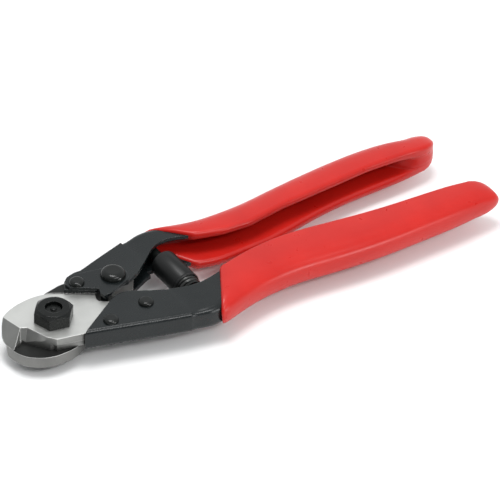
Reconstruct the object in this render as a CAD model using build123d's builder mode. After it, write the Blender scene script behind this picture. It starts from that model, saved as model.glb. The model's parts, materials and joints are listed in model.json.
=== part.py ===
"""Hand wire-rope cutter, 190 mm class, lying flat and closed.

Frame: the origin is on the pivot axis, at the underside of the pivot bolt's head, which is the
lowest flat face.  +X runs from the pivot to the handle ends, +Y to the rear handle, +Z up.
The front handle carries the upper jaw, the rear handle carries the lower jaw and the catch.
"""
from build123d import *
import os
from math import cos, sin, radians

os.makedirs("parts", exist_ok=True)

# ---- driving dimensions (mm, degrees) ----
head_t = 2.2            # pivot bolt head
washer_t = 0.7          # washer under the lower jaw
jaw_t = 5.0             # thickness of each jaw plate
sheet_t = 1.4           # thickness of the stamped handle sheet
skin_t = 1.2            # dipped grip skin outside the steel
lining_t = 0.8          # dipped skin inside the channel
bolt_r = 4.0            # pivot shank
thread_r = 3.0          # threaded end of the pivot bolt
fit = 0.05              # radial running clearance
face_gap = 0.3          # gap between the jaw's stop edge and the other handle
nut_af = 12.0
nut_h = 4.9
rivet_r = 1.7
small_head_r = 2.65
stud_r = 4.4
plate_t = 1.2           # catch plate

z_low = head_t + washer_t          # underside of the lower jaw
z_mid = z_low + jaw_t              # plane between the jaws
z_top = z_mid + jaw_t              # top of the upper jaw
z_floor = z_mid - sheet_t          # underside of the handle channels
z_roof = z_top + sheet_t           # top of the handle channels
z_axis = z_mid + jaw_t / 2         # mid height of the handles
lip_from = 2.4                     # the lips of a dipped grip start this far above and below z_axis
lip_reach = 12.0                   # taller than any grip

rivet_1 = (15.0, -11.9)            # front handle rivets
rivet_2 = (30.1, -9.7)
catch_pivot = (14.7, 9.7)          # rear handle rivet that the catch turns on
rivet_4 = (30.3, 9.6)              # rear handle rivet under the catch
stud_at = (27.5, 7.2)

spring_x = 49.4                    # the spring lies across the handles here
spring_r = 4.4
wire_r = 0.7
seat_y = 8.0                       # inner face of each spring seat
sleeve_r = 4.9

# Handle stations: x, distance of the steel's open side and of its web from the centre line,
# half height of the steel and radius of its outer corners.
front_stations = [
    (40.0, 7.4, 23.1, 3.9, 1.6),
    (46.0, 9.2, 24.3, 4.1, 2.2),
    (52.0, 10.1, 24.3, 4.5, 3.0),
    (58.0, 9.2, 22.6, 4.7, 3.6),
    (66.0, 7.2, 20.3, 4.8, 3.8),
    (76.0, 5.3, 18.8, 4.8, 3.8),
    (86.0, 4.5, 18.5, 4.8, 3.8),
    (100.0, 5.5, 19.7, 4.8, 3.8),
    (118.0, 7.8, 20.9, 4.8, 3.8),
    (138.0, 9.4, 20.7, 4.8, 3.8),
    (156.0, 10.2, 20.0, 4.6, 3.6),
    (165.0, 11.4, 19.6, 4.2, 3.2),
]
rear_stations = [
    (40.0, 7.4, 22.6, 3.9, 1.6),
    (46.0, 9.4, 24.2, 4.1, 2.2),
    (52.0, 10.2, 24.6, 4.5, 3.0),
    (58.0, 9.4, 23.2, 4.7, 3.6),
    (66.0, 6.8, 21.0, 4.8, 3.8),
    (76.0, 6.0, 20.3, 4.8, 3.8),
    (86.0, 6.3, 20.5, 4.8, 3.8),
    (100.0, 8.3, 22.3, 4.8, 3.8),
    (118.0, 11.6, 24.4, 4.8, 3.8),
    (138.0, 13.2, 25.8, 4.8, 3.8),
    (156.0, 13.9, 24.7, 4.6, 3.6),
    (165.0, 15.3, 23.8, 4.2, 3.2),
]
# The dipped tip beyond the steel: x, open side, outer side, half height, corner radius.
front_tip = [
    (165.0, 10.2, 20.8, 5.4, 4.4),
    (168.0, 11.3, 20.8, 5.1, 4.1),
    (170.4, 13.4, 20.2, 4.2, 2.8),
    (171.7, 15.8, 19.2, 2.6, 1.6),
]
rear_tip = [
    (165.0, 14.1, 25.0, 5.4, 4.4),
    (167.6, 15.5, 24.9, 5.1, 4.1),
    (169.8, 17.6, 24.2, 4.2, 2.8),
    (170.9, 19.7, 23.1, 2.6, 1.6),
]

# The edge of the narrower flange of each handle, with a deep arch clear of the spring: x, distance from
# the centre line.  It runs back to where the dip closes the channel.
arch = [(34.2, 4.0), (40.0, 8.4), (45.0, 12.5), (50.0, 15.4), (54.5, 15.7), (61.7, 13.3)]
front_arch = arch + [
    (73.0, 9.5), (84.0, 8.0), (100.0, 9.0), (118.0, 10.2), (138.0, 11.4), (156.0, 11.6), (166.0, 10.7)
]
rear_arch = arch + [
    (73.0, 10.3), (84.0, 9.6), (100.0, 12.2), (118.0, 13.6), (138.0, 15.2), (156.0, 15.2), (166.0, 14.6)
]
# Where the dip ends: x, distance from the centre line, on the flange with the arch and on the other one.
dip_at_arch = [(72.0, 0.0), (61.5, 13.5), (50.0, 26.0), (45.0, 32.0)]
dip_at_plain = [(65.3, 0.0), (46.2, 32.0)]


def arch_sketch(side, inset):
    """Outline of the arch, drawn back by an inset that leaves room for the dipped skin."""
    line = [(x, side * (y - inset)) for x, y in (front_arch if side < 0 else rear_arch)]
    with BuildSketch(Plane.XY) as outline:
        with BuildLine():
            Line((33.0, side * -2.0), line[0])
            Line(line[0], line[1])
            Spline(*line[1:])
            Line(line[-1], (166.0, side * -2.0))
            Line((166.0, side * -2.0), (33.0, side * -2.0))
        make_face()
    return outline.sketch


def dip_sketch(side, edge):
    """Outline of what lies ahead of the dip's slanting edge."""
    with BuildSketch(Plane.XY) as outline:
        Polygon((40.0, 0.0), *[(x, side * y) for x, y in edge], (40.0, side * 32.0), align=None)
    return outline.sketch


def channel_section(side, x, y_open, y_web, half_h, r_web, r_open):
    """One closed cross-section of a handle, rounded at the web and at the open side."""
    across = Plane(origin=(x, 0, z_axis), x_dir=(0, 1, 0), z_dir=(1, 0, 0))
    with BuildSketch(across) as section:
        with Locations((side * (y_open + y_web) / 2, 0)):
            Rectangle(y_web - y_open, 2 * half_h)
        corners = vertices().sort_by(Axis.X)
        at_web = corners[:2] if side < 0 else corners[2:]
        at_open = corners[2:] if side < 0 else corners[:2]
        if r_web > 0:
            fillet(at_web, r_web)
        if r_open > 0:
            fillet(at_open, r_open)
    return section.sketch


def steel_outer(side, stations):
    """Sections of the outside of the steel channel."""
    return [channel_section(side, x, y_open, y_web, h, r, 0.3) for x, y_open, y_web, h, r in stations]


def steel_inner(side, stations):
    """Sections of the hollow inside the steel channel, open towards the other handle."""
    t = sheet_t
    return [
        channel_section(side, x, y_open - 3.0, y_web - t, h - t, max(r - t, 0.2), 0.1)
        for x, y_open, y_web, h, r in stations
    ]


def grip_outer(side, stations):
    """Sections of the outside of a dipped grip."""
    t = skin_t
    return [
        channel_section(side, x, y_open - t, y_web + t, h + t, r + t, 1.5)
        for x, y_open, y_web, h, r in stations[1:]
    ]


def grip_tip(side, tip):
    """Sections of the closed tip of a dipped grip."""
    return [channel_section(side, x, y_open, y_web, h, r, 1.5) for x, y_open, y_web, h, r in tip]


def grip_inner(side, stations):
    """Sections of the recess left inside a dipped grip."""
    t = sheet_t + lining_t
    return [
        channel_section(side, x, y_open - 6.0, y_web - t, h - t, 1.0, 0.1)
        for x, y_open, y_web, h, r in stations[1:-1]
    ]


def domed_rivet(centre, z0, z1, shank_r, head_r, head_h, foot_r, foot_h):
    """Closed solid of a rivet between z0 and z1, with a domed head above and a low foot below."""
    with BuildPart() as rivet:
        with Locations((centre[0], centre[1], z1)):
            Cylinder(head_r, head_h, align=(Align.CENTER, Align.CENTER, Align.MIN))
        fillet(edges().group_by(Axis.Z)[-1], 0.93 * head_h)
        if foot_h > 0:
            with Locations((centre[0], centre[1], z0)):
                Cylinder(foot_r, foot_h, align=(Align.CENTER, Align.CENTER, Align.MAX))
            fillet(edges().group_by(Axis.Z)[0], 0.8 * foot_h)
        with Locations((centre[0], centre[1], z0)):
            Cylinder(shank_r, z1 - z0, align=(Align.CENTER, Align.CENTER, Align.MIN))
    return rivet.part


# ---- front handle: upper jaw ----
with BuildPart() as upper_jaw:
    with BuildSketch(Plane.XY.offset(z_mid)):
        with BuildLine():
            Line((17.9, 0.4), (17.6, 1.6))
            Line((17.6, 1.6), (18.6, 4.3))
            Line((18.6, 4.3), (5.0, 12.2))
            ThreePointArc((5.0, 12.2), (0.0, 13.2), (-5.0, 12.8))
            ThreePointArc((-5.0, 12.8), (-9.8, 11.5), (-14.0, 9.2))
            ThreePointArc((-14.0, 9.2), (-17.3, 3.5), (-16.9, -2.6))
            Line((-16.9, -2.6), (-12.6, -0.6))
            Line((-12.6, -0.6), (-4.6, -10.1))
            Line((-4.6, -10.1), (5.0, -12.1))
            Line((5.0, -12.1), (6.4, -11.8))
            Line((6.4, -11.8), (8.0, -12.4))
            Line((8.0, -12.4), (33.5, -19.6))
            Line((33.5, -19.6), (35.5, -6.2))
            Line((35.5, -6.2), (27.0, -2.6))
            Line((27.0, -2.6), (21.0, -1.8))
            Line((21.0, -1.8), (17.9, 0.4))
        make_face()
    extrude(amount=jaw_t)
    # ground facet that slopes down to the hook's tip
    nose_facet = Plane(origin=(-13.1, 4.9, z_top), z_dir=(-0.665, -0.162, 0.729))
    split(bisect_by=nose_facet, keep=Keep.BOTTOM)
    # throat bevel: wider at the top face than at the cutting edge
    with BuildSketch(Plane.XY.offset(z_mid + 0.6)):
        Polygon((-18.6, -3.6), (-13.3, -0.9), (-11.9, -1.8), (-10.4, -4.6), (-4.6, -10.1), (-9.0, -14.5),
                align=None)
    with BuildSketch(Plane.XY.offset(z_top + 0.1)):
        Polygon((-20.6, -3.0), (-12.0, 1.3), (-9.9, 0.3), (-8.4, -3.4), (-5.9, -10.0), (-9.0, -18.0),
                align=None)
    loft(ruled=True, mode=Mode.SUBTRACT)
    # the lower half of the front side is ground back
    with BuildSketch(Plane.XY.offset(z_mid)):
        Polygon((-4.3, -9.7), (5.0, -11.7), (6.4, -11.4), (9.0, -11.4), (9.0, -15.0), (-9.0, -15.0),
                (-8.5, -8.0), (-4.9, -8.6), align=None)
    extrude(amount=2.3, mode=Mode.SUBTRACT)
    with Locations((0, 0, z_mid)):
        Cylinder(bolt_r + fit, 20, mode=Mode.SUBTRACT)
    with Locations((rivet_1[0], rivet_1[1], z_mid), (rivet_2[0], rivet_2[1], z_mid)):
        Cylinder(rivet_r, 20, mode=Mode.SUBTRACT)
upper_jaw.part.label = "upper_jaw"
export_step(upper_jaw.part, "parts/upper_jaw.step")

# ---- front handle: stamped channel, running to the end of the grip ----
with BuildPart() as front_frame:
    with BuildSketch(Plane.XY.offset(z_floor)):
        with BuildLine():
            Line((4.3, -13.1), (20.0, -3.0))
            ThreePointArc((20.0, -3.0), (25.4, -1.0), (31.0, -2.9))
            Line((31.0, -2.9), (40.0, -7.4))
            Line((40.0, -7.4), (40.0, -23.1))
            Line((40.0, -23.1), (31.0, -20.7))
            Line((31.0, -20.7), (4.3, -13.1))
        make_face()
    extrude(amount=z_roof - z_floor)
    fillet(edges().filter_by(Plane.XY).group_by(Axis.Z)[0].sort_by(Axis.Y)[:2], 1.6)
    fillet(edges().filter_by(Plane.XY).group_by(Axis.Z)[-1].sort_by(Axis.Y)[:2], 1.6)
    loft(steel_outer(-1, front_stations))
    # hollow of the front part
    with BuildSketch(Plane.XY.offset(z_mid)):
        Polygon((0.0, -10.4), (31.0, -19.24), (40.0, -21.7), (40.0, 8.0), (0.0, 8.0), align=None)
    extrude(amount=jaw_t, mode=Mode.SUBTRACT)
    # hollow of the handle
    loft(steel_inner(-1, front_stations), mode=Mode.SUBTRACT)
    # deep arch in the lower flange, clear of the spring
    with BuildSketch(Plane.XY.offset(z_floor - 1.5)):
        add(arch_sketch(-1, 0.0))
    extrude(amount=4.4, mode=Mode.SUBTRACT)
    with Locations((rivet_1[0], rivet_1[1], z_mid), (rivet_2[0], rivet_2[1], z_mid)):
        Cylinder(rivet_r, 30, mode=Mode.SUBTRACT)
front_frame.part.label = "front_frame"
export_step(front_frame.part, "parts/front_frame.step")

# ---- front grip: dipped skin over and inside the channel ----
with BuildPart() as front_grip:
    loft(grip_outer(-1, front_stations))
    loft(grip_tip(-1, front_tip), ruled=True)
    loft(grip_inner(-1, front_stations), ruled=True, mode=Mode.SUBTRACT)
    # slanting front edge of the dip, above and below, and the skin along the arch
    with BuildSketch(Plane.XY.offset(z_axis)):
        add(dip_sketch(-1, dip_at_plain))
    extrude(amount=lip_reach, mode=Mode.SUBTRACT)
    with BuildSketch(Plane.XY.offset(z_axis)):
        add(dip_sketch(-1, dip_at_arch))
    extrude(amount=-lip_reach, mode=Mode.SUBTRACT)
    with BuildSketch(Plane.XY.offset(z_axis - lip_from)):
        add(arch_sketch(-1, skin_t))
    extrude(amount=-lip_reach, mode=Mode.SUBTRACT)
    add(front_frame.part, mode=Mode.SUBTRACT)
front_grip.part.label = "front_grip"
export_step(front_grip.part, "parts/front_grip.step")

# ---- front handle: rivets ----
for name, place in (("front_rivet_fore", rivet_1), ("front_rivet_aft", rivet_2)):
    with BuildPart() as front_rivet:
        add(domed_rivet(place, z_floor, z_roof, rivet_r, small_head_r, 1.3, small_head_r, 1.1))
    front_rivet.part.label = name
    export_step(front_rivet.part, "parts/" + name + ".step")

# ---- pivot: bolt, washer and nut ----
with BuildPart() as pivot_bolt:
    with Locations((0, 0, 0)):
        Cylinder(6.6, head_t, align=(Align.CENTER, Align.CENTER, Align.MIN))
    chamfer(edges().group_by(Axis.Z)[0], 0.6)
    with Locations((0, 0, head_t)):
        Cylinder(bolt_r, z_top - 0.5 - head_t, align=(Align.CENTER, Align.CENTER, Align.MIN))
    with Locations((0, 0, z_top - 0.5)):
        Cylinder(thread_r, nut_h - 0.6, align=(Align.CENTER, Align.CENTER, Align.MIN))
    chamfer(edges().group_by(Axis.Z)[-1], 0.5)
    with Locations((0, 0, z_top + nut_h - 1.1)):
        Cylinder(1.1, 0.7, align=(Align.CENTER, Align.CENTER, Align.MIN))
    fillet(edges().group_by(Axis.Z)[-1], 0.6)
pivot_bolt.part.label = "pivot_bolt"
export_step(pivot_bolt.part, "parts/pivot_bolt.step")

with BuildPart() as pivot_washer:
    with BuildSketch(Plane.XY.offset(head_t)):
        Circle(7.2)
        Circle(bolt_r + 0.15, mode=Mode.SUBTRACT)
    extrude(amount=washer_t)
pivot_washer.part.label = "pivot_washer"
export_step(pivot_washer.part, "parts/pivot_washer.step")

with BuildPart() as pivot_nut:
    with BuildSketch(Plane.XY.offset(z_top)):
        RegularPolygon(nut_af / 2, 6, major_radius=False, rotation=-10.8)
    extrude(amount=nut_h)
    # crown: the corners are turned down at about 30 degrees
    with BuildSketch(Plane.XZ):
        Polygon((5.3, z_top + nut_h), (9.0, z_top + nut_h - 2.5), (9.0, z_top + nut_h + 1.0),
                (5.3, z_top + nut_h + 1.0), align=None)
    revolve(axis=Axis.Z, mode=Mode.SUBTRACT)
    with Locations((0, 0, z_top)):
        Cylinder(thread_r + 0.02, 20, mode=Mode.SUBTRACT)
pivot_nut.part.label = "pivot_nut"
export_step(pivot_nut.part, "parts/pivot_nut.step")

# ---- rear handle: lower jaw, cranked up into its channel ----
with BuildPart() as lower_jaw:
    with BuildSketch(Plane.XY.offset(z_low + 1.0)) as lower_outline:
        with BuildLine():
            ThreePointArc((12.4, 0.0), (11.1, -5.6), (7.0, -9.0))
            ThreePointArc((7.0, -9.0), (3.0, -11.3), (-3.0, -12.2))
            ThreePointArc((-3.0, -12.2), (-10.4, -10.9), (-15.2, -7.0))
            ThreePointArc((-15.2, -7.0), (-17.0, -2.6), (-17.2, 1.6))
            Line((-17.2, 1.6), (-12.2, 3.6))
            Line((-12.2, 3.6), (-8.4, 9.6))
            ThreePointArc((-8.4, 9.6), (-3.0, 12.3), (3.2, 12.9))
            Line((3.2, 12.9), (10.2, 14.6))
            Line((10.2, 14.6), (13.0, 15.4))
            Line((13.0, 15.4), (9.4, 9.2))
            Line((9.4, 9.2), (12.4, 0.0))
        make_face()
    extrude(amount=jaw_t - 1.0)
    extrude(lower_outline.sketch, amount=-1.0, taper=40)
    # throat bevel on the underside, wider away from the cutting edge
    with BuildSketch(Plane.XY.offset(z_mid - 0.6)):
        Polygon((-18.2, 1.2), (-12.2, 3.6), (-8.4, 9.6), (-13.0, 13.0), align=None)
    with BuildSketch(Plane.XY.offset(z_low - 0.1)):
        Polygon((-19.6, -0.6), (-11.0, 1.9), (-5.6, 10.4), (-13.0, 17.0), align=None)
    loft(mode=Mode.SUBTRACT)
    # tang between the flanges of the rear channel
    with BuildSketch(Plane.XY.offset(z_mid)):
        with BuildLine():
            ThreePointArc((4.0, 12.9), (5.3, 12.42), (6.75, 11.69))
            Line((6.75, 11.69), (19.3, 4.45))
            Line((19.3, 4.45), (25.0, 3.6))
            Line((25.0, 3.6), (34.0, 4.6))
            Line((34.0, 4.6), (33.5, 18.7))
            Line((33.5, 18.7), (18.6, 13.8))
            Line((18.6, 13.8), (13.0, 14.4))
            Line((13.0, 14.4), (10.2, 14.3))
            Line((10.2, 14.3), (4.0, 12.9))
        make_face()
    extrude(amount=jaw_t)
    with Locations((0, 0, z_mid)):
        Cylinder(bolt_r + fit, 20, mode=Mode.SUBTRACT)
    with Locations((catch_pivot[0], catch_pivot[1], z_mid), (rivet_4[0], rivet_4[1], z_mid)):
        Cylinder(rivet_r, 20, mode=Mode.SUBTRACT)
lower_jaw.part.label = "lower_jaw"
export_step(lower_jaw.part, "parts/lower_jaw.step")

# ---- rear handle: stamped channel ----
with BuildPart() as rear_frame:
    with BuildSketch(Plane.XY.offset(z_floor)):
        with BuildLine():
            Line((10.0, 9.9), (19.6, 4.4))
            Line((19.6, 4.4), (24.5, 3.4))
            Line((24.5, 3.4), (31.0, 3.0))
            Line((31.0, 3.0), (40.0, 7.4))
            Line((40.0, 7.4), (40.0, 22.6))
            Line((40.0, 22.6), (30.0, 19.5))
            Line((30.0, 19.5), (20.0, 16.2))
            ThreePointArc((20.0, 16.2), (15.3, 15.7), (12.0, 13.4))
            Line((12.0, 13.4), (10.0, 9.9))
        make_face()
    extrude(amount=z_roof - z_floor)
    loft(steel_outer(1, rear_stations))
    # hollow of the front part
    with BuildSketch(Plane.XY.offset(z_mid)):
        Polygon((0.0, 16.0), (17.0, 17.6), (18.0, 14.05), (30.0, 18.05), (40.0, 21.2), (40.0, -8.0),
                (0.0, -8.0), align=None)
    extrude(amount=jaw_t, mode=Mode.SUBTRACT)
    loft(steel_inner(1, rear_stations), mode=Mode.SUBTRACT)
    # the lower flange starts behind the crank of the jaw
    with BuildSketch(Plane.XY.offset(z_floor - 0.1)):
        Polygon((8.0, 4.0), (12.3, 7.8), (17.2, 16.4), (17.0, 20.0), (8.0, 20.0), align=None)
    extrude(amount=sheet_t + 0.2, mode=Mode.SUBTRACT)
    # deep arch in the upper flange, clear of the spring
    with BuildSketch(Plane.XY.offset(z_top - 0.8)):
        add(arch_sketch(1, 0.0))
    extrude(amount=4.0, mode=Mode.SUBTRACT)
    # seat for the sleeve's end in the lower flange
    with BuildSketch(Plane.XY.offset(z_floor - 1.5)):
        with Locations((spring_x, 8.5)):
            Rectangle(11.4, 5.0)
    extrude(amount=3.6, mode=Mode.SUBTRACT)
    with Locations((catch_pivot[0], catch_pivot[1], z_mid), (rivet_4[0], rivet_4[1], z_mid)):
        Cylinder(rivet_r, 30, mode=Mode.SUBTRACT)
    with Locations((rivet_4[0], rivet_4[1], z_roof - 0.8)):
        Cone(rivet_r, small_head_r, 0.8, align=(Align.CENTER, Align.CENTER, Align.MIN), mode=Mode.SUBTRACT)
rear_frame.part.label = "rear_frame"
export_step(rear_frame.part, "parts/rear_frame.step")

# ---- rear grip ----
with BuildPart() as rear_grip:
    loft(grip_outer(1, rear_stations))
    loft(grip_tip(1, rear_tip), ruled=True)
    loft(grip_inner(1, rear_stations), ruled=True, mode=Mode.SUBTRACT)
    with BuildSketch(Plane.XY.offset(z_axis)):
        add(dip_sketch(1, dip_at_arch))
    extrude(amount=lip_reach, mode=Mode.SUBTRACT)
    with BuildSketch(Plane.XY.offset(z_axis)):
        add(dip_sketch(1, dip_at_plain))
    extrude(amount=-lip_reach, mode=Mode.SUBTRACT)
    with BuildSketch(Plane.XY.offset(z_axis + lip_from)):
        add(arch_sketch(1, skin_t))
    extrude(amount=lip_reach, mode=Mode.SUBTRACT)
    add(rear_frame.part, mode=Mode.SUBTRACT)
rear_grip.part.label = "rear_grip"
export_step(rear_grip.part, "parts/rear_grip.step")

# ---- rear handle: rivet under the catch, flush above ----
with BuildPart() as rear_rivet_aft:
    with Locations((rivet_4[0], rivet_4[1], z_roof - 0.8)):
        Cone(rivet_r, small_head_r, 0.8, align=(Align.CENTER, Align.CENTER, Align.MIN))
    with Locations((rivet_4[0], rivet_4[1], z_floor)):
        Cylinder(rivet_r, z_roof - z_floor, align=(Align.CENTER, Align.CENTER, Align.MIN))
    with Locations((rivet_4[0], rivet_4[1], z_floor)):
        Cylinder(small_head_r, 1.0, align=(Align.CENTER, Align.CENTER, Align.MAX))
    fillet(edges().group_by(Axis.Z)[0], 0.6)
rear_rivet_aft.part.label = "rear_rivet_aft"
export_step(rear_rivet_aft.part, "parts/rear_rivet_aft.step")

# ---- rear handle: rivet that the catch turns on ----
with BuildPart() as catch_rivet:
    z_plate = z_roof + plate_t + 0.1
    add(domed_rivet(catch_pivot, z_floor, z_plate, rivet_r, small_head_r, 1.3, small_head_r, 1.1))
catch_rivet.part.label = "catch_rivet"
export_step(catch_rivet.part, "parts/catch_rivet.step")

# ---- catch: plate with a down-turned hook, and its thumb stud ----
with BuildPart() as catch_plate:
    with BuildSketch(Plane.XY.offset(z_roof + 0.05)):
        with BuildLine():
            Line((11.5, 8.7), (19.6, 3.4))
            Line((19.6, 3.4), (18.7, 0.9))
            Line((18.7, 0.9), (19.2, -0.9))
            Line((19.2, -0.9), (22.0, -0.6))
            Line((22.0, -0.6), (25.9, 0.9))
            Line((25.9, 0.9), (30.4, 2.6))
            ThreePointArc((30.4, 2.6), (32.4, 7.6), (29.0, 11.8))
            Line((29.0, 11.8), (17.2, 13.9))
            ThreePointArc((17.2, 13.9), (12.6, 13.4), (11.5, 8.7))
        make_face()
    extrude(amount=plate_t)
    # hook turned down into the notch of the upper jaw
    with BuildSketch(Plane.XY.offset(z_roof + 0.05)):
        Polygon((19.4, 1.1), (19.65, 0.5), (21.6, 0.4), (22.0, 0.9), (22.0, 2.4), (19.9, 2.6), align=None)
    extrude(amount=-(sheet_t + 3.4))
    with Locations((catch_pivot[0], catch_pivot[1], z_roof)):
        Cylinder(rivet_r + fit, 10, mode=Mode.SUBTRACT)
    with Locations((stud_at[0], stud_at[1], z_roof)):
        Cylinder(1.5, 10, mode=Mode.SUBTRACT)
catch_plate.part.label = "catch_plate"
export_step(catch_plate.part, "parts/catch_plate.step")

with BuildPart() as catch_stud:
    add(domed_rivet(stud_at, z_roof + 0.1, z_roof + 0.05 + plate_t, 1.5, stud_r, 2.2, 0, 0))
catch_stud.part.label = "catch_stud"
export_step(catch_stud.part, "parts/catch_stud.step")

# ---- spring, its sleeve and its two seats ----
for name, side in (("front_spring_seat", -1), ("rear_spring_seat", 1)):
    with BuildPart() as seat:
        across = Plane(origin=(spring_x, side * seat_y, z_axis), z_dir=(0, side, 0))
        with BuildSketch(across):
            Circle(spring_r - 0.2)
        extrude(amount=0.8)
        with BuildSketch(across):
            Circle(1.95)
        extrude(amount=14.7)
        with BuildSketch(across):
            Circle(3.0)
        extrude(amount=-3.5)
        chamfer(edges().sort_by(Axis.Y)[0 if side > 0 else -1], 0.6)
    seat.part.label = name
    export_step(seat.part, "parts/" + name + ".step")

turns = 8
coil_len = 2 * seat_y - 2 * wire_r - 0.2
with BuildPart() as spring:
    with BuildLine() as coil:
        Helix(
            coil_len / turns,
            coil_len,
            spring_r - wire_r,
            center=(spring_x, coil_len / 2, z_axis),
            direction=(0, -1, 0),
        )
    with BuildSketch(Plane(origin=coil.line @ 0, z_dir=coil.line % 0)):
        Circle(wire_r)
    sweep(path=coil.line, is_frenet=True)
spring.part.label = "spring"
export_step(spring.part, "parts/spring.step")

with BuildPart() as spring_sleeve:
    with BuildSketch(Plane(origin=(spring_x, 10.2, z_axis), z_dir=(0, -1, 0))):
        Circle(sleeve_r)
        Circle(sleeve_r - 0.4, mode=Mode.SUBTRACT)
    extrude(amount=15.4)
spring_sleeve.part.label = "spring_sleeve"
export_step(spring_sleeve.part, "parts/spring_sleeve.step")
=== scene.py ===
"""Looks of the hand wire-rope cutter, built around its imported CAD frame. Lengths are in metres."""
import json
import math
import bmesh
import bpy
import numpy as np
from mathutils import Matrix, Vector, noise
from mathutils.bvhtree import BVHTree


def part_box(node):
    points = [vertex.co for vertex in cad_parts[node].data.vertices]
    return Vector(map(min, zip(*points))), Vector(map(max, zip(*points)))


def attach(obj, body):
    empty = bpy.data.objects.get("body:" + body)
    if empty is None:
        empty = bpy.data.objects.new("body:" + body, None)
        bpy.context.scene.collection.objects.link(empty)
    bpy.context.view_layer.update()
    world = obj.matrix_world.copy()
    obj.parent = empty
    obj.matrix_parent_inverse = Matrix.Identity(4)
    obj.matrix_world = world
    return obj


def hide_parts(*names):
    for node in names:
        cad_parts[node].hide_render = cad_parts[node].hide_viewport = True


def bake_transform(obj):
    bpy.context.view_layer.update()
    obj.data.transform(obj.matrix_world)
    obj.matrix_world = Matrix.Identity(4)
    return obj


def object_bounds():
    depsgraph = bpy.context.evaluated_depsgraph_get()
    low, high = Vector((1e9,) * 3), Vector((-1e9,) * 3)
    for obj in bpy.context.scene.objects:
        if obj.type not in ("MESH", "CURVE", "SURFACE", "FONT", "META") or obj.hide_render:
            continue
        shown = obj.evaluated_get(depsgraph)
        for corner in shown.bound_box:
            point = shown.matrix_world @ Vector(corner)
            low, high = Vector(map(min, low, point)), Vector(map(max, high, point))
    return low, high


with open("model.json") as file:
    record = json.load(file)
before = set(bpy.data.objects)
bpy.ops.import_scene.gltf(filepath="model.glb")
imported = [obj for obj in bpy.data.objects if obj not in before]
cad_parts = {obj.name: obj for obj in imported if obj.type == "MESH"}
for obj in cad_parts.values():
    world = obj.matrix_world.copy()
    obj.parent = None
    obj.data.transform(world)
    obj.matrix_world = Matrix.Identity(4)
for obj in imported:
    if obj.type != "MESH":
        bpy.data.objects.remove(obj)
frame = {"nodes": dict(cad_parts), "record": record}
cad_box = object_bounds()
nodes = frame["nodes"]
MM = 0.001

LOW, HIGH = "lower_handle", "upper_handle"

# ---------------------------------------------------------------- shader helpers


class Shader:
    """A node-based material with one Principled shader."""

    def __init__(self, name, **sockets):
        self.material = bpy.data.materials.new(name)
        self.material.use_nodes = True
        self.tree = self.material.node_tree
        self.main = self.tree.nodes["Principled BSDF"]
        self.coords = self.tree.nodes.new("ShaderNodeTexCoord")
        self.rounded = None
        for socket, value in sockets.items():
            self.main.inputs[socket.replace("_", " ")].default_value = value

    def node(self, kind, **values):
        """A new node; a value goes to the socket or else the property of that name."""
        made = self.tree.nodes.new("ShaderNode" + kind)
        for name, value in values.items():
            if name in made.inputs:
                made.inputs[name].default_value = value
            else:
                setattr(made, name, value)
        return made

    def link(self, start, end):
        self.tree.links.new(start, end)

    def stretched(self, scale=(1, 1, 1), rotation=(0, 0, 0)):
        """Object coordinates, scaled and turned."""
        mapping = self.node("Mapping", Scale=scale, Rotation=rotation)
        self.link(self.coords.outputs["Object"], mapping.inputs["Vector"])
        return mapping.outputs["Vector"]

    def noise(self, scale, detail=4.0, rough=0.5, vector=None):
        """Noise of that many features per metre."""
        made = self.node("TexNoise", Scale=scale, Detail=detail, Roughness=rough)
        self.link(vector or self.coords.outputs["Object"], made.inputs["Vector"])
        return made.outputs["Fac"]

    def spread(self, value, low, high, from_low=0.0, from_high=1.0):
        """value, moved from one range to another and kept inside it."""
        made = self.node("MapRange")
        made.inputs["From Min"].default_value = from_low
        made.inputs["From Max"].default_value = from_high
        made.inputs["To Min"].default_value = low
        made.inputs["To Max"].default_value = high
        self.link(value, made.inputs["Value"])
        return made.outputs["Result"]

    def mix(self, factor, dark, light):
        """A colour between two colours or sockets, by a socket."""
        made = self.node("Mix", data_type="RGBA")
        self.link(factor, made.inputs[0])
        for socket, colour in ((made.inputs[6], dark), (made.inputs[7], light)):
            if isinstance(colour, bpy.types.NodeSocket):
                self.link(colour, socket)
            else:
                socket.default_value = (*colour, 1.0)
        return made.outputs[2]

    def math(self, operation, first, second):
        made = self.node("Math", operation=operation)
        self.link(first, made.inputs[0])
        if isinstance(second, bpy.types.NodeSocket):
            self.link(second, made.inputs[1])
        else:
            made.inputs[1].default_value = second
        return made.outputs[0]

    def bump(self, *layers):
        """Bumps, each (height socket, depth in metres), one on top of the other."""
        before = self.rounded
        for height, depth in layers:
            made = self.node("Bump", Strength=1.0, Distance=depth)
            self.link(height, made.inputs["Height"])
            if before:
                self.link(before, made.inputs["Normal"])
            before = made.outputs["Normal"]
        self.link(before, self.main.inputs["Normal"])

    def colour(self, socket):
        self.link(socket, self.main.inputs["Base Color"])

    def rough(self, socket):
        self.link(socket, self.main.inputs["Roughness"])

    def edges(self, radius):
        """0 on flat stretches, rising to 1 on edges; it also rounds the edges off for light."""
        soft = self.node("Bevel", samples=6)
        soft.inputs["Radius"].default_value = radius
        plain = self.node("NewGeometry")
        product = self.node("VectorMath", operation="DOT_PRODUCT")
        self.link(soft.outputs["Normal"], product.inputs[0])
        self.link(plain.outputs["Normal"], product.inputs[1])
        self.rounded = soft.outputs["Normal"]
        return self.spread(product.outputs["Value"], 1.0, 0.0, 0.80, 0.995)

    def upward(self):
        """1 where the surface faces straight up or down, 0 on its sides."""
        split = self.node("SeparateXYZ")
        self.link(self.coords.outputs["Normal"], split.inputs[0])
        flat = self.node("Math", operation="ABSOLUTE")
        self.link(split.outputs["Z"], flat.inputs[0])
        return flat.outputs[0]


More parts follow.
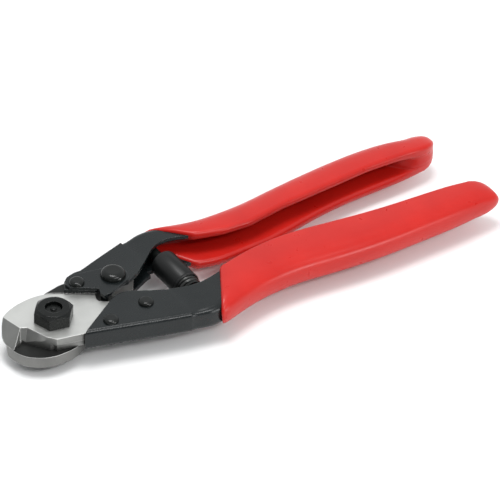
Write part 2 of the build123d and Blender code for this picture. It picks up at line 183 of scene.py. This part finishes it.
def red_vinyl():
    """Dipped vinyl, slightly uneven, with a fine grain."""
    s = Shader("red_vinyl", Specular_IOR_Level=0.34, Coat_Weight=0.03, Coat_Roughness=0.3)
    cloud = s.noise(70.0, 3.0)
    s.colour(s.mix(s.spread(cloud, 0.0, 1.0, 0.3, 0.7), (0.455, 0.0095, 0.006), (0.515, 0.0130, 0.008)))
    s.rough(s.spread(s.noise(240.0, 4.0), 0.27, 0.38, 0.3, 0.7))
    s.bump((s.noise(55.0, 2.0), 0.00020), (s.noise(900.0, 2.0), 0.000004))
    return s.material


def black_paint(name):
    """Satin black coating on sheet steel, a little orange peel; its edges are painted lighter, partly as
    wear where the coating is thin and partly as a painted highlight.
    """
    s = Shader(name, Specular_IOR_Level=0.36)
    cloud = s.spread(s.noise(60.0, 3.0), 0.0, 1.0, 0.35, 0.65)
    base = s.mix(cloud, (0.0050, 0.0072, 0.0078), (0.0072, 0.0098, 0.0104))
    # edges painted light grey: partly bare steel where the coating wears thin, partly a painted highlight
    edge_wear_and_highlight = s.math("MULTIPLY", s.edges(0.00045), s.spread(s.noise(500.0, 4.0), 0.075, 0.5, 0.42, 0.6))
    s.colour(s.mix(edge_wear_and_highlight, base, (0.10, 0.105, 0.105)))
    s.rough(s.spread(s.noise(420.0, 4.0), 0.20, 0.31, 0.3, 0.7))
    s.bump((s.noise(260.0, 2.0), 0.000012), (s.noise(2400.0, 2.0), 0.0000008))
    return s.material


def ground_steel(name, top, side, top_rough):
    """Ground steel: bright flat faces with fine grinding lines, duller machined sides, and a painted
    highlight along the edges.
    """
    s = Shader(name, Metallic=1.0)
    edge = s.edges(0.0003)
    lines = s.noise(1.0, 3.0, 0.6, s.stretched((260.0, 6500.0, 260.0), (0, 0, math.radians(24))))
    stain = s.spread(s.noise(90.0, 4.0), 0.0, 1.0, 0.35, 0.7)
    face = s.mix(stain, top, [0.90 * c for c in top])
    flank = s.mix(stain, side, [0.78 * c for c in side])
    flat = s.spread(s.upward(), 0.0, 1.0, 0.90, 0.985)
    # edges painted light grey: a painted highlight
    s.colour(s.mix(edge, s.mix(flat, flank, face), (0.72, 0.72, 0.70)))
    s.rough(s.spread(lines, top_rough - 0.06, top_rough + 0.10, 0.3, 0.7))
    s.bump((lines, 0.000012), (s.noise(500.0, 4.0), 0.00001))
    return s.material


def black_oxide(name, tone, rough, gloss):
    """Blackened steel of the nut, the bolt and the rivets."""
    s = Shader(name, Specular_IOR_Level=gloss)
    cloud = s.spread(s.noise(260.0, 5.0), 0.0, 1.0, 0.3, 0.7)
    dark, light = (0.007, 0.0085, 0.0078), (0.012, 0.014, 0.013)
    base = s.mix(cloud, [tone * c for c in dark], [tone * c for c in light])
    # edges painted lighter: partly worn bare steel, partly a painted highlight
    edge_wear_and_highlight = s.math("MULTIPLY", s.edges(0.00025), s.spread(s.noise(900.0, 4.0), 0.1, 0.6, 0.4, 0.6))
    s.colour(s.mix(edge_wear_and_highlight, base, (0.14, 0.14, 0.135)))
    s.rough(s.spread(s.noise(600.0, 4.0), rough - 0.05, rough + 0.10, 0.3, 0.7))
    s.bump((s.noise(1500.0, 3.0), 0.00002), (s.noise(5200.0, 2.0), 0.000006))
    return s.material


def dark_sleeve():
    """Smooth dark plastic sleeve, with faint marks along the way it slides."""
    s = Shader("dark_sleeve", Specular_IOR_Level=0.28)
    marks = s.noise(1.0, 3.0, 0.6, s.stretched((2600.0, 120.0, 2600.0)))
    s.colour(s.mix(s.spread(marks, 0.0, 1.0, 0.35, 0.7), (0.0045, 0.005, 0.005), (0.0085, 0.009, 0.009)))
    s.rough(s.spread(marks, 0.34, 0.48, 0.3, 0.7))
    s.bump((marks, 0.00001))
    return s.material


def spring_steel():
    """Drawn and blackened spring wire."""
    s = Shader("spring_steel", Metallic=0.8)
    draw = s.noise(900.0, 3.0)
    s.colour(s.mix(s.spread(draw, 0.0, 1.0, 0.3, 0.7), (0.030, 0.031, 0.030), (0.070, 0.071, 0.069)))
    s.rough(s.spread(draw, 0.28, 0.42, 0.3, 0.7))
    s.bump((s.noise(3000.0, 3.0), 0.000008))
    return s.material


MATERIALS = {
    "red_vinyl": red_vinyl(),
    "black_sheet": black_paint("black_sheet_paint"),
    "black_rivet": black_oxide("black_rivet_oxide", 0.7, 0.16, 0.30),
    "black_hardware": black_oxide("black_hardware_oxide", 0.6, 0.22, 0.20),
    "plain_washer": ground_steel("washer_steel", (0.42, 0.42, 0.41), (0.30, 0.30, 0.29), 0.42),
    "ground_steel": ground_steel("jaw_steel_bright", (0.61, 0.615, 0.595), (0.27, 0.272, 0.262), 0.42),
    "ground_steel_side": ground_steel("jaw_steel_dull", (0.037, 0.038, 0.037), (0.22, 0.22, 0.212), 0.45),
    "spring_wire": spring_steel(),
    "sleeve": dark_sleeve(),
}

# ---------------------------------------------------------------- mesh helpers


def mesh_piece(name, points, faces, body, slot):
    """A smooth mesh object in its material, riding on a body."""
    mesh = bpy.data.meshes.new(name)
    mesh.from_pydata([tuple(p) for p in points], [], faces)
    tidy = bmesh.new()
    tidy.from_mesh(mesh)
    bmesh.ops.recalc_face_normals(tidy, faces=tidy.faces)
    tidy.to_mesh(mesh)
    tidy.free()
    mesh.polygons.foreach_set("use_smooth", [True] * len(mesh.polygons))
    piece = bpy.data.objects.new(name, mesh)
    bpy.context.scene.collection.objects.link(piece)
    mesh.materials.append(MATERIALS[slot])
    if body:
        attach(piece, body)
    return piece


def skin(rings, closed_ends=True):
    """Points and faces of a tube through rings of equal length."""
    count = len(rings[0])
    faces = []
    for i in range(len(rings) - 1):
        a, b = i * count, (i + 1) * count
        for k in range(count):
            n = (k + 1) % count
            faces.append((a + k, a + n, b + n, b + k))
    points = [p for ring in rings for p in ring]
    if closed_ends:
        faces.append(tuple(range(count)))
        faces.append(tuple(range(len(points) - count, len(points))))
    return points, faces


def arc(cy, cz, r, start, end, count):
    """Points of an arc in the YZ plane, angles in degrees."""
    angles = [math.radians(start + (end - start) * i / (count - 1)) for i in range(count)]
    return [(cy + r * math.cos(a), cz + r * math.sin(a)) for a in angles]


# ---------------------------------------------------------------- dipped grips


# the steel's narrower flange on each side: distance of its edge from the centre line, along X
FLANGE_X = np.array((54.5, 61.7, 73.0, 84.0, 100.0, 118.0, 138.0, 156.0, 166.0)) * MM
FLANGE_Y = {
    -1: np.array((15.7, 13.3, 9.5, 8.0, 9.0, 10.2, 11.4, 11.6, 10.7)) * MM,
    1: np.array((15.7, 13.3, 10.3, 9.6, 12.2, 13.6, 15.2, 15.2, 14.6)) * MM,
}
# where the dip ends: distances from the centre line, and X there
DIP_AT_ARCH = np.array((0.0, 13.5, 26.0, 32.0)) * MM, np.array((72.0, 61.5, 50.0, 45.0)) * MM
DIP_AT_PLAIN = np.array((0.0, 32.0)) * MM, np.array((65.3, 46.2)) * MM


class Grip:
    """A dipped grip, read from its CAD node: distances from the centre line and heights along X."""

    lip = 3.4 * MM          # thickness of the channel's lips
    dip = 1.2 * MM          # thickness of the dipped skin
    whole_from = 67 * MM    # both lips are whole from here on
    widen = 0.22            # the plain lip spreads this much per length ahead of that
    tip_len = 10.5 * MM
    tip_power = 2.3         # 2 is an ellipse, more is squarer
    lean = 0.22             # the tip's pole lies this share of the width in from the web
    steel_end = 164.5 * MM  # the steel is measured up to here
    fade = (0.146, 0.161)   # the recess runs out between these
    shoulder = 8.5 * MM     # the rounded web reaches this far across the section
    soft = 1.55 * MM        # all other corners
    first_x = 57 * MM       # about where the dip's edge lies
    web_from = 51 * MM      # ahead of this the spring's seat interrupts the web
    stations = 45           # sections measured along the steel
    steps = 46              # rings along the grip, between its rim and its tip

    # points in half a section: the shoulder, the outer lip, and each of the recess's two corners
    on_shoulder, on_lip, on_recess = 9, 6, 5
    outside = on_shoulder + on_lip
    inside = 2 * on_recess
    around = 2 * (outside + inside)

    def __init__(self, node, frame_node, side, arch_up, square, fuller):
        """square shapes the shoulder, and fuller thickens the skin over the web, in mm."""
        self.node, self.side, self.arch_up = node, side, arch_up
        self.square, self.fuller = square, fuller * MM
        low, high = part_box(node)
        self.z_axis = (low.z + high.z) / 2
        self.x_tip = high.x - self.tip_len
        self.grip = self.surface(node)
        self.steel = self.surface(frame_node)
        self.xs = np.linspace(self.web_from, min(self.x_tip, self.steel_end), self.stations)
        self.web, self.mouth, self.half = zip(*[self.measure(x) for x in self.xs])

    @staticmethod
    def surface(node):
        """A node's surface, for casting rays at."""
        found = bmesh.new()
        found.from_mesh(nodes[node].data)
        tree = BVHTree.FromBMesh(found)
        found.free()
        return tree

    def measure(self, x):
        """Distances of the web and the plain lip, and the half height, of the steel with its skin."""
        far, side = 60 * MM, self.side
        web = side * self.steel.ray_cast(Vector((x, side * far, self.z_axis)), Vector((0, -side, 0)))[0].y
        top = self.steel.ray_cast(Vector((x, side * (web - 5 * MM), far)), Vector((0, 0, -1)))[0].z
        whole = max(x, self.whole_from)
        plain = -4.3 * MM if self.arch_up else 4.3 * MM
        lip = self.grip.ray_cast(Vector((whole, 0, self.z_axis + plain)), Vector((0, side, 0)))[0].y
        half = top - self.z_axis + self.dip + 0.3 * self.fuller
        return web + self.dip + self.fuller, side * lip + self.widen * (whole - x), half

    def half_profile(self, web, mouth, half, run_out, thin):
        """Upper half of the section: the web's corner, the rounded lip and the recess inside."""
        depth = web - self.lip - mouth
        web, mouth, half = web - thin, mouth + thin, half - thin
        soft = self.soft - 0.6 * thin
        shoulder = min(self.shoulder, web - mouth - soft - 0.2 * MM)
        inner = min(soft, 0.45 * depth)
        gap = half - self.lip + 2 * thin
        recess = (
            arc(mouth + inner, gap + inner, inner, 180, 270, self.on_recess)
            + arc(mouth + depth - inner, gap - inner, inner, 90, 0, self.on_recess)
        )
        corner = [(y ** self.square, z ** self.square) for y, z in arc(0, 0, 1, 5, 90, self.on_shoulder)]
        return (
            [(web - shoulder * (1 - y), half * z) for y, z in corner]
            + arc(mouth + soft, half - soft, soft, 90, 180, self.on_lip)
            + [(mouth + (y - mouth) * run_out, z) for y, z in recess]
        )

    def profile(self, x, thin):
        """The C-shaped section at x, as (distance from the centre line, height).

        thin is how much the skin is pared down towards the dip's edge.
        """
        at = min(x, self.x_tip)
        web, plain, half = (float(np.interp(at, self.xs, v)) for v in (self.web, self.mouth, self.half))
        arched = max(plain, float(np.interp(at, FLANGE_X, FLANGE_Y[self.side])) - self.dip)
        run_out = min(max((self.fade[1] - x) / (self.fade[1] - self.fade[0]), 0.0), 1.0)
        run_out = run_out * run_out * (3 - 2 * run_out)
        above, below = (arched, plain) if self.arch_up else (plain, arched)
        top = self.half_profile(web, above, half, run_out, thin)
        bottom = self.half_profile(web, below, half, run_out, thin)
        return top + [(y, -z) for y, z in reversed(bottom)]

    def edge(self, y, z):
        """X of the dip's slanting edge, which differs between the arched flange and the plain one."""
        arched = float(np.interp(y, *DIP_AT_ARCH))
        plain = float(np.interp(y, *DIP_AT_PLAIN))
        share = min(max(0.5 + z / (4 * MM), 0.0), 1.0)
        above, below = (arched, plain) if self.arch_up else (plain, arched)
        return share * above + (1 - share) * below

    def ring(self, travel, thin=0.0):
        """Points at one share of the way from the slanting front edge to the tip."""
        points = []
        for k in range(self.around):
            x = self.x_tip * travel + self.first_x * (1 - travel)
            for _ in range(4):
                y, z = self.profile(x, thin)[k]
                x = self.x_tip * travel + self.edge(y, z) * (1 - travel)
            points.append((x, y, z))
        return points

    def tip_ring(self, angle):
        """Points of the rounded tip, from angle 0 at its start to 90 degrees at its end."""
        power = 2 / self.tip_power
        shrink = math.cos(angle) ** power
        x = self.x_tip + self.tip_len * math.sin(angle) ** power
        section = self.profile(x, 0.0)
        web, mouth = max(y for y, z in section), min(y for y, z in section)
        pole = web - self.lean * (web - mouth)
        return [(x, pole + (y - pole) * shrink, z * shrink) for y, z in section]

    def front_face(self):
        """Faces that close the C-shaped front: a strip along each lip and one across the web."""
        last, middle = self.around - 1, self.around // 2
        upper = range(self.outside), range(middle - 1, self.outside - 1, -1)
        lower = range(last, last - self.outside, -1), range(middle, middle + self.inside)
        a_end, b_end = self.outside - 1, self.inside - 1
        faces = [(last, 0, middle - 1, middle)]
        for outer, inner in (upper, lower):
            a, b = 0, 0
            while a < a_end or b < b_end:
                if b == b_end or (a < a_end and a * b_end <= b * a_end):
                    faces.append((outer[a], outer[a + 1], inner[b]))
                    a += 1
                else:
                    faces.append((outer[a], inner[b + 1], inner[b]))
                    b += 1
        return faces

    def build(self, name, body):
        """The whole grip: pared rim, body and rounded tip, with a slightly uneven skin."""
        rims = [(0.0, 0.75), (0.2, 0.42), (0.55, 0.16), (1.1, 0.0)]  # mm from the edge, mm pared away
        length = self.x_tip - self.first_x
        rings = [self.ring(x * MM / length, thin * MM) for x, thin in rims]
        first = rims[-1][0] * MM / length
        rings += [self.ring(first + (1 - first) * i / self.steps) for i in range(1, self.steps + 1)]
        rings += [self.tip_ring(math.radians(a)) for a in (14, 27, 39, 50, 60, 69, 77, 83, 87.5, 89.4)]
        placed = [[(x, self.side * y, self.z_axis + z) for x, y, z in ring] for ring in rings]
        points, faces = skin(placed, closed_ends=False)
        tip_face = tuple(range(len(points) - self.around, len(points)))
        faces += self.front_face() + [tip_face]
        piece = mesh_piece(name, points, faces, body, "red_vinyl")
        normals = [v.normal.copy() for v in piece.data.vertices]
        for vertex, normal in zip(piece.data.vertices, normals):
            uneven = 0.05 * noise.noise(vertex.co * 55.0) + 0.02 * noise.noise(vertex.co * 170.0)
            vertex.co += normal * uneven * MM
        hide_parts(self.node)


front = Grip("front_grip", "front_frame", -1, arch_up=False, square=0.78, fuller=0.5)
front.build("front_dipped_grip", LOW)
rear = Grip("rear_grip", "rear_frame", 1, arch_up=True, square=0.88, fuller=0.1)
rear.build("rear_dipped_grip", HIGH)

# ---------------------------------------------------------------- spring and sleeve


def spring_coil():
    """The compression spring with a closed turn at each end, placed between the two handles."""
    low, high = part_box("spring")
    wire = 0.7 * MM
    radius = (high.x - low.x) / 2 - wire
    x, z = (low.x + high.x) / 2, (low.z + high.z) / 2
    start, end = low.y + wire, high.y - wire
    turns, per_turn, around = 8, 28, 10
    closed = 2 * wire * 1.02
    open_pitch = (end - start - 2 * closed) / (turns - 2)
    rings = []
    for i in range(turns * per_turn + 1):
        t = i / per_turn
        end_turns = min(t, 1) + max(t - turns + 1, 0)
        open_turns = min(max(t - 1, 0), turns - 2)
        y = start + closed * end_turns + open_pitch * open_turns
        a = 2 * math.pi * t
        out = Vector((math.cos(a), 0, math.sin(a)))
        centre = Vector((x, y, z)) + radius * out
        ring = []
        for k in range(around):
            b = 2 * math.pi * k / around
            ring.append(centre + wire * (math.cos(b) * out + math.sin(b) * Vector((0, 1, 0))))
        rings.append(ring)
    points, faces = skin(rings)
    piece = mesh_piece("spring_coil", points, faces, None, "spring_wire")
    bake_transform(piece)
    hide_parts("spring")


def lathe(profile, centre, axis, across, around=64):
    """Rings of a turned shape: profile is (distance along axis, radius), both from centre."""
    other = axis.cross(across)
    rings = []
    for along, radius in profile:
        ring = []
        for k in range(around):
            a = 2 * math.pi * k / around
            ring.append(centre + axis * along + (math.cos(a) * across + math.sin(a) * other) * radius)
        rings.append(ring)
    return rings


def sleeve():
    """Thin plastic sleeve over the spring, with rounded ends and a rim at its lower end."""
    low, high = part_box("spring_sleeve")
    radius = (high.x - low.x) / 2
    bore = radius - 0.42 * MM
    x, z = (low.x + high.x) / 2, (low.z + high.z) / 2
    top, foot = high.y, low.y
    round_off, rim = 0.9 * MM, 1.1 * MM
    outer = [(top - round_off * (1 - math.sin(a)), radius - 0.42 * MM * (1 - math.cos(a)))
             for a in (math.radians(v) for v in (90, 70, 50, 30, 10, 0))]
    groove = [(foot + rim + 0.5 * MM, radius), (foot + rim + 0.25 * MM, radius - 0.22 * MM),
              (foot + rim, radius - 0.22 * MM), (foot + rim - 0.2 * MM, radius)]
    lip = [(foot + 0.35 * MM, radius), (foot + 0.1 * MM, radius - 0.12 * MM), (foot, radius - 0.3 * MM)]
    inner = [(foot, bore), (foot + 0.6 * MM, bore), (top - 0.6 * MM, bore), (top, bore)]
    profile = outer + groove + lip + inner
    rings = lathe(profile, Vector((x, 0, z)), Vector((0, 1, 0)), Vector((1, 0, 0)))
    points, faces = skin(rings + [rings[0]], closed_ends=False)
    piece = mesh_piece("sleeve_tube", points, faces, HIGH, "sleeve")
    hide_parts("spring_sleeve")


spring_coil()
sleeve()

# ---------------------------------------------------------------- CAD nodes in their materials
for part in frame["record"]["subparts"]:
    mesh = nodes[part["node"]].data
    mesh.materials.clear()
    mesh.materials.append(MATERIALS[part["material_slot"]])

# ---------------------------------------------------------------- floor, light, camera
low, high = Vector(cad_box[0]), Vector(cad_box[1])


def stage_floor():
    """A plain pale floor just under the tool."""
    size = 3.0
    z = low.z - 0.0002
    mesh = bpy.data.meshes.new("floor")
    corners = [(-size, -size, z), (size, -size, z), (size, size, z), (-size, size, z)]
    mesh.from_pydata(corners, [], [(0, 1, 2, 3)])
    floor = bpy.data.objects.new("floor", mesh)
    bpy.context.scene.collection.objects.link(floor)
    s = Shader("floor_paper", Roughness=0.9, Specular_IOR_Level=0.1)
    s.colour(s.mix(s.noise(6.0), (0.86, 0.86, 0.86), (0.88, 0.88, 0.88)))
    mesh.materials.append(s.material)


def stage_light():
    """A pale studio: brighter above and behind, dimmer at the horizon, with three soft boxes."""
    world = bpy.data.worlds.new("studio")
    bpy.context.scene.world = world
    world.use_nodes = True
    tree = world.node_tree
    back = tree.nodes["Background"]
    coords = tree.nodes.new("ShaderNodeTexCoord")
    lean = tree.nodes.new("ShaderNodeVectorMath")
    lean.operation = "DOT_PRODUCT"
    lean.inputs[1].default_value = (0.25, 0.40, 0.88)
    fade = tree.nodes.new("ShaderNodeMapRange")
    fade.interpolation_type = "SMOOTHSTEP"
    for socket, value in (("From Min", -0.25), ("From Max", 0.75), ("To Min", 0.22), ("To Max", 0.86)):
        fade.inputs[socket].default_value = value
    tree.links.new(coords.outputs["Generated"], lean.inputs[0])
    tree.links.new(lean.outputs["Value"], fade.inputs["Value"])
    tree.links.new(fade.outputs["Result"], back.inputs[1])
    back.inputs[0].default_value = (0.975, 0.99, 1.0, 1.0)
    target = Vector((0.07, 0.0, 0.01))
    for name, place, wide, tall, power in (
        ("overhead", (0.03, 0.06, 0.80), 0.30, 0.30, 3.6),
        ("front_high", (0.10, -0.62, 0.66), 0.45, 0.12, 2.4),
        ("front_low", (0.42, -0.75, 0.13), 0.30, 0.10, 1.5),
    ):
        lamp = bpy.data.lights.new(name, "AREA")
        lamp.shape = "RECTANGLE"
        lamp.size, lamp.size_y = wide, tall
        lamp.energy = power
        made = bpy.data.objects.new(name, lamp)
        made.location = place
        made.rotation_euler = (target - Vector(place)).to_track_quat("-Z", "Y").to_euler()
        bpy.context.scene.collection.objects.link(made)


def stage_camera():
    """The camera, at the angle and distance that show the tool from its front left."""
    lens = bpy.data.cameras.new("camera")
    lens.sensor_width = 36.0
    lens.lens = 219.29
    camera = bpy.data.objects.new("camera", lens)
    yaw, pitch, roll = (math.radians(v) for v in (35.3399, 37.3890, 3.0703))
    ahead = Vector((math.sin(yaw) * math.cos(pitch), math.cos(yaw) * math.cos(pitch), -math.sin(pitch)))
    level = Vector((math.cos(yaw), -math.sin(yaw), 0.0))
    above = level.cross(ahead)
    right = level * math.cos(roll) + above * math.sin(roll)
    up = above * math.cos(roll) - level * math.sin(roll)
    turn = Matrix((right, up, -ahead)).transposed().to_4x4()
    camera.matrix_world = Matrix.Translation((-0.40390423, -0.68019915, 0.64850896)) @ turn
    bpy.context.scene.collection.objects.link(camera)
    bpy.context.scene.camera = camera


stage_floor()
stage_light()
stage_camera()
bpy.context.scene.view_settings.view_transform = "Standard"
